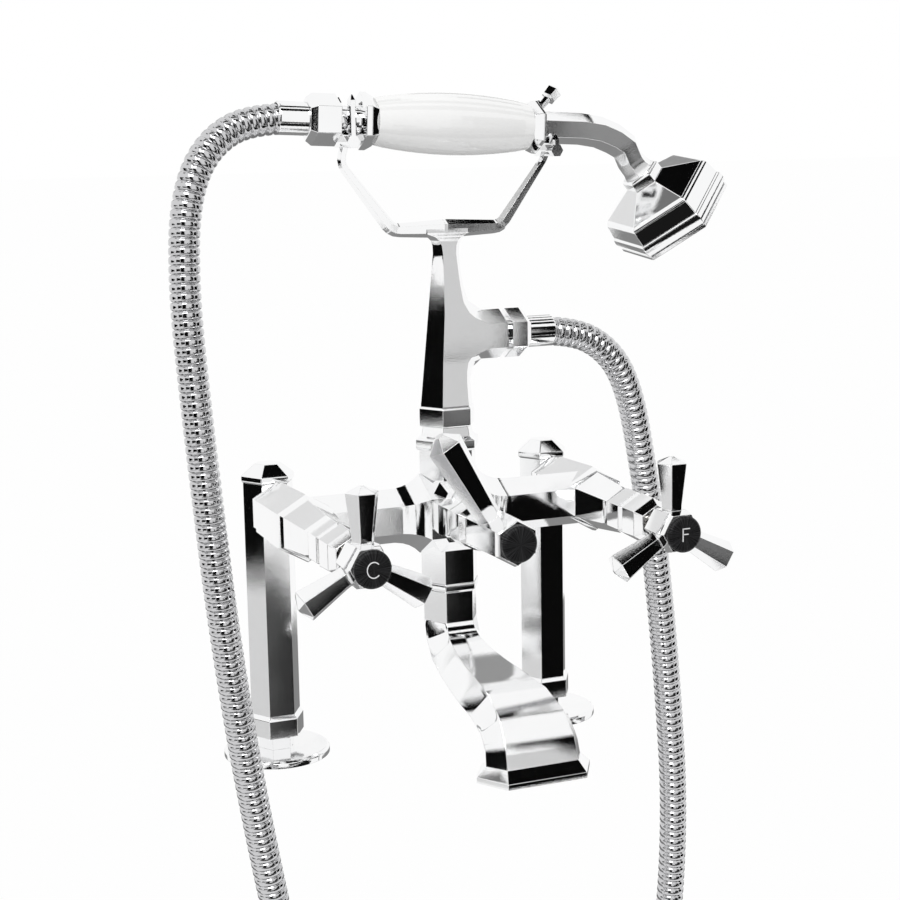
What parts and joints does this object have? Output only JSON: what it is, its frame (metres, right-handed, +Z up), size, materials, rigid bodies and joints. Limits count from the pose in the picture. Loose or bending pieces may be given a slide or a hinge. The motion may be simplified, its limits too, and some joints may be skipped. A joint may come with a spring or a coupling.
{
  "type": "bath mixer",
  "caption": "Deck mounted bath and shower mixer in chrome with hexagonal castings, a porcelain grip hand shower in a cradle, spoked handles and a diverter lever.",
  "frame": {"origin": "on the deck, midway between the two legs", "axes": "+Z up, -Y to the front where the handles and the spout point, +X to the cold side"},
  "size_m": [0.3387, 0.2273, 0.7242],
  "materials": {
    "chrome": "polished",
    "porcelain": "gloss",
    "index_enamel": "polished",
    "disc_ceramic": "satin",
    "rubber": "matte",
    "brass": "satin",
    "grey_plastic": "gloss",
    "hose_steel": "polished"
  },
  "bodies": {
    "mixer": {"bonnet_cold": "chrome", "bonnet_hot": "chrome", "cartridge_sleeve_cold": "brass", "cartridge_sleeve_hot": "brass", "cradle_riser": "chrome", "deck_flange_cold": "chrome", "deck_flange_hot": "chrome", "diverter_bonnet": "chrome", "diverter_sleeve": "brass", "fixed_disc_cold": "disc_ceramic", "fixed_disc_hot": "disc_ceramic", "flow_straightener": "grey_plastic", "hose": "hose_steel", "hose_ferrule_handset": "chrome", "hose_ferrule_riser": "chrome", "hose_nut_riser": "chrome", "hose_washer_riser": "rubber", "leg_cap_cold": "chrome", "leg_cap_hot": "chrome", "leg_cold": "chrome", "leg_hot": "chrome", "leg_nut_cold": "chrome", "leg_nut_hot": "chrome", "leg_tail_cold": "chrome", "leg_tail_hot": "chrome", "mixer_body": "chrome", "riser_flange": "chrome", "riser_nut": "chrome", "spout": "chrome", "spout_collar": "chrome"},
    "hot_handle": {"handle_hot": "chrome", "handle_screw_hot": "chrome", "index_cap_hot": "index_enamel", "moving_disc_hot": "disc_ceramic", "spindle_hot": "brass", "spindle_seal_hot": "rubber"},
    "cold_handle": {"handle_cold": "chrome", "handle_screw_cold": "chrome", "index_cap_cold": "index_enamel", "moving_disc_cold": "disc_ceramic", "spindle_cold": "brass", "spindle_seal_cold": "rubber"},
    "diverter": {"diverter_spindle": "brass", "diverter_lever": "chrome", "diverter_screw": "chrome", "diverter_cap": "index_enamel"},
    "handset": {"handset_tail": "chrome", "hose_nut_handset": "chrome", "hose_washer_handset": "rubber", "rear_collar": "chrome", "porcelain_grip": "porcelain", "core_tube": "brass", "front_collar": "chrome", "handset_neck": "chrome", "head_nut": "chrome", "shower_head": "chrome", "rose_plate": "chrome"}
  },
  "joints": [
    {"name": "hot_turn", "type": "hinge", "parent": "mixer", "child": "hot_handle", "pos_m": [-0.09, -0.11, 0.1537], "axis": [0, -1, 0], "range_deg": [0, 90]},
    {"name": "cold_turn", "type": "hinge", "parent": "mixer", "child": "cold_handle", "pos_m": [0.09, -0.11, 0.1537], "axis": [0, 1, 0], "range_deg": [0, 90]},
    {"name": "diverter_turn", "type": "hinge", "parent": "mixer", "child": "diverter", "pos_m": [0, -0.11, 0.1537], "axis": [0, 1, 0], "range_deg": [0, 90]},
    {"name": "handset_lift", "type": "slide", "parent": "mixer", "child": "handset", "axis": [0.048, 0, 0.9988], "range_m": [0, 0.06]}
  ]
}
